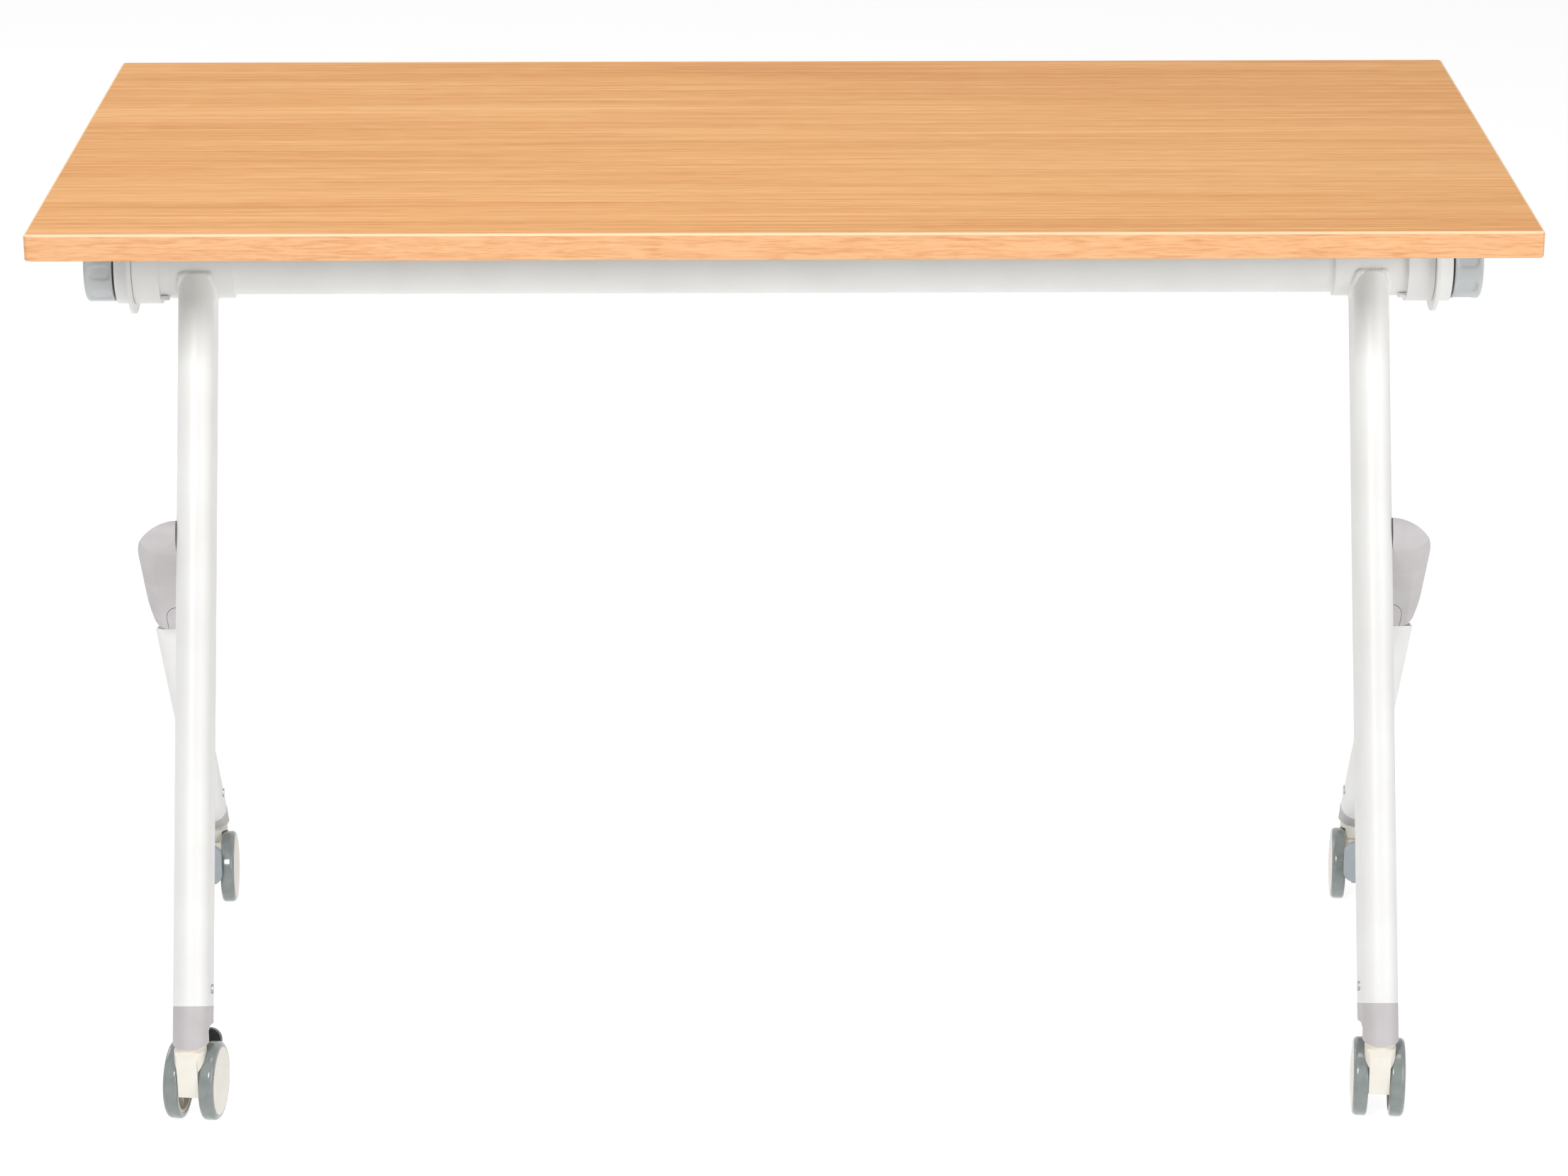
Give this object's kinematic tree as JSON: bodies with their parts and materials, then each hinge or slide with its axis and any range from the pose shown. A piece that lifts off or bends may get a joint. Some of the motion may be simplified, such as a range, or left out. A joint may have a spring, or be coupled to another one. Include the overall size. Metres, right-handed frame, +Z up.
{
  "type": "folding desk",
  "caption": "Mobile folding desk: rectangular wood-grain top that tilts upright about a tubular beam, leaning white legs whose rear pair folds forward, and braked swivel casters.",
  "frame": {"origin": "on the floor, under the middle of the desk's overall footprint", "axes": "+X along the top to the right as seen from the front, +Y towards the back, +Z up"},
  "size_m": [1.2, 0.6678, 0.75],
  "materials": {
    "beech_top": "satin beech-grain laminate, tan orange",
    "beech_edge": "satin edge band, slightly lighter",
    "powder_white": "semi-gloss white powder coat",
    "housing_grey": "fine-grained warm grey",
    "knob_grey": "fine-grained bluish grey",
    "dark_washer": "matt black",
    "zinc_steel": "zinc plated",
    "caster_cream": "semi-gloss cream nylon",
    "tread_grey": "smooth greenish grey tread",
    "pedal_grey": "semi-gloss blue-grey",
    "pedal_dark": "semi-gloss dark grey"
  },
  "bodies": {
    "frame": {"beam_tube": "powder_white", "pivot_axles": "zinc_steel", "friction_washers": "dark_washer", "leg_pivot_pins": "zinc_steel", "front_cap_screws": "zinc_steel", "leg_sleeve_left": "powder_white", "pivot_collar_left": "powder_white", "front_leg_left": "powder_white", "front_leg_cap_left": "housing_grey", "leg_sleeve_right": "powder_white", "pivot_collar_right": "powder_white", "front_leg_right": "powder_white", "front_leg_cap_right": "housing_grey"},
    "tabletop": {"table_board": "beech_top", "edge_band": "beech_edge", "bracket_screws": "zinc_steel", "tilt_hub_left": "powder_white", "tilt_bracket_left": "powder_white", "tilt_hub_right": "powder_white", "tilt_bracket_right": "powder_white"},
    "lock_knob_left": {"knob_left": "knob_grey"},
    "lock_knob_right": {"knob_right": "knob_grey"},
    "rear_leg_left": {"rear_leg_left": "powder_white", "hinge_housing_left": "housing_grey", "rear_leg_cap_left": "housing_grey", "rear_cap_screw_left": "zinc_steel"},
    "release_left": {"release_button_left": "housing_grey"},
    "rear_leg_right": {"rear_leg_right": "powder_white", "hinge_housing_right": "housing_grey", "rear_leg_cap_right": "housing_grey", "rear_cap_screw_right": "zinc_steel"},
    "release_right": {"release_button_right": "housing_grey"},
    "caster_front_left": {"caster_body_front_left": "caster_cream", "caster_pins_front_left": "zinc_steel"},
    "pedal_front_left": {"brake_pedal_front_left": "pedal_dark"},
    "wheel_inner_front_left": {"wheel_hub_inner_front_left": "caster_cream", "tyre_inner_front_left": "tread_grey"},
    "wheel_outer_front_left": {"wheel_hub_outer_front_left": "caster_cream", "tyre_outer_front_left": "tread_grey"},
    "caster_front_right": {"caster_body_front_right": "caster_cream", "caster_pins_front_right": "zinc_steel"},
    "pedal_front_right": {"brake_pedal_front_right": "pedal_dark"},
    "wheel_inner_front_right": {"wheel_hub_inner_front_right": "caster_cream", "tyre_inner_front_right": "tread_grey"},
    "wheel_outer_front_right": {"wheel_hub_outer_front_right": "caster_cream", "tyre_outer_front_right": "tread_grey"},
    "caster_rear_left": {"caster_body_rear_left": "caster_cream", "caster_pins_rear_left": "zinc_steel"},
    "pedal_rear_left": {"brake_pedal_rear_left": "pedal_grey"},
    "wheel_inner_rear_left": {"wheel_hub_inner_rear_left": "caster_cream", "tyre_inner_rear_left": "tread_grey"},
    "wheel_outer_rear_left": {"wheel_hub_outer_rear_left": "caster_cream", "tyre_outer_rear_left": "tread_grey"},
    "caster_rear_right": {"caster_body_rear_right": "caster_cream", "caster_pins_rear_right": "zinc_steel"},
    "pedal_rear_right": {"brake_pedal_rear_right": "pedal_grey"},
    "wheel_inner_rear_right": {"wheel_hub_inner_rear_right": "caster_cream", "tyre_inner_rear_right": "tread_grey"},
    "wheel_outer_rear_right": {"wheel_hub_outer_rear_right": "caster_cream", "tyre_outer_rear_right": "tread_grey"}
  },
  "joints": [
    {"name": "top_tilt", "type": "hinge", "parent": "frame", "child": "tabletop", "pos_m": [0, -0.03406, 0.661], "axis": [-1, 0, 0], "range_deg": [0, 90]},
    {"name": "knob_turn_left", "type": "hinge", "parent": "frame", "child": "lock_knob_left", "pos_m": [-0.575, -0.03406, 0.661], "axis": [-1, 0, 0], "range_deg": [0, 90]},
    {"name": "knob_turn_right", "type": "hinge", "parent": "frame", "child": "lock_knob_right", "pos_m": [0.575, -0.03406, 0.661], "axis": [1, 0, 0], "range_deg": [0, 90]},
    {"name": "rear_leg_fold_left", "type": "hinge", "parent": "frame", "child": "rear_leg_left", "pos_m": [-0.528, -0.12622, 0.454], "axis": [-1, 0, 0], "range_deg": [0, 45]},
    {"name": "release_press_left", "type": "slide", "parent": "rear_leg_left", "child": "release_left", "axis": [0, 0.9483, -0.3173], "range_m": [0, 0.003], "stiffness_N_per_m": 300},
    {"name": "rear_leg_fold_right", "type": "hinge", "parent": "frame", "child": "rear_leg_right", "pos_m": [0.528, -0.12622, 0.454], "axis": [-1, 0, 0], "range_deg": [0, 45]},
    {"name": "release_press_right", "type": "slide", "parent": "rear_leg_right", "child": "release_right", "axis": [0, 0.9483, -0.3173], "range_m": [0, 0.003], "stiffness_N_per_m": 300},
    {"name": "swivel_front_left", "type": "hinge", "parent": "frame", "child": "caster_front_left", "pos_m": [-0.492, -0.31219, 0.073], "axis": [0, 0, 1], "continuous": true},
    {"name": "pedal_press_front_left", "type": "hinge", "parent": "caster_front_left", "child": "pedal_front_left", "pos_m": [-0.49054, -0.30028, 0.03275], "axis": [-0.9925, 0.1219, 0], "range_deg": [-15, 0]},
    {"name": "wheel_turn_inner_front_left", "type": "hinge", "parent": "caster_front_left", "child": "wheel_inner_front_left", "pos_m": [-0.47466, -0.30223, 0.03275], "axis": [0.9925, -0.1219, 0], "continuous": true},
    {"name": "wheel_turn_outer_front_left", "type": "hinge", "parent": "caster_front_left", "child": "wheel_outer_front_left", "pos_m": [-0.50642, -0.29833, 0.03275], "axis": [0.9925, -0.1219, 0], "continuous": true},
    {"name": "swivel_front_right", "type": "hinge", "parent": "frame", "child": "caster_front_right", "pos_m": [0.492, -0.31219, 0.073], "axis": [0, 0, 1], "continuous": true},
    {"name": "pedal_press_front_right", "type": "hinge", "parent": "caster_front_right", "child": "pedal_front_right", "pos_m": [0.49305, -0.30024, 0.03275], "axis": [-0.9962, 0.0872, 0], "range_deg": [-15, 0]},
    {"name": "wheel_turn_inner_front_right", "type": "hinge", "parent": "caster_front_right", "child": "wheel_inner_front_right", "pos_m": [0.47711, -0.29884, 0.03275], "axis": [0.9962, -0.0872, 0], "continuous": true},
    {"name": "wheel_turn_outer_front_right", "type": "hinge", "parent": "caster_front_right", "child": "wheel_outer_front_right", "pos_m": [0.50899, -0.30163, 0.03275], "axis": [0.9962, -0.0872, 0], "continuous": true},
    {"name": "swivel_rear_left", "type": "hinge", "parent": "rear_leg_left", "child": "caster_rear_left", "pos_m": [-0.528, 0.16613, 0.073], "axis": [0, 0, 1], "continuous": true},
    {"name": "pedal_press_rear_left", "type": "hinge", "parent": "caster_rear_left", "child": "pedal_rear_left", "pos_m": [-0.52769, 0.15413, 0.03275], "axis": [0.9997, 0.0262, 0], "range_deg": [0, 15]},
    {"name": "wheel_turn_inner_rear_left", "type": "hinge", "parent": "caster_rear_left", "child": "wheel_inner_rear_left", "pos_m": [-0.51169, 0.15455, 0.03275], "axis": [-0.9997, -0.0262, 0], "continuous": true},
    {"name": "wheel_turn_outer_rear_left", "type": "hinge", "parent": "caster_rear_left", "child": "wheel_outer_rear_left", "pos_m": [-0.54368, 0.15372, 0.03275], "axis": [-0.9997, -0.0262, 0], "continuous": true},
    {"name": "swivel_rear_right", "type": "hinge", "parent": "rear_leg_right", "child": "caster_rear_right", "pos_m": [0.528, 0.16613, 0.073], "axis": [0, 0, 1], "continuous": true},
    {"name": "pedal_press_rear_right", "type": "hinge", "parent": "caster_rear_right", "child": "pedal_rear_right", "pos_m": [0.52716, 0.15416, 0.03275], "axis": [0.9976, -0.0698, 0], "range_deg": [0, 15]},
    {"name": "wheel_turn_inner_rear_right", "type": "hinge", "parent": "caster_rear_right", "child": "wheel_inner_rear_right", "pos_m": [0.5112, 0.15528, 0.03275], "axis": [-0.9976, 0.0698, 0], "continuous": true},
    {"name": "wheel_turn_outer_rear_right", "type": "hinge", "parent": "caster_rear_right", "child": "wheel_outer_rear_right", "pos_m": [0.54312, 0.15304, 0.03275], "axis": [-0.9976, 0.0698, 0], "continuous": true}
  ]
}
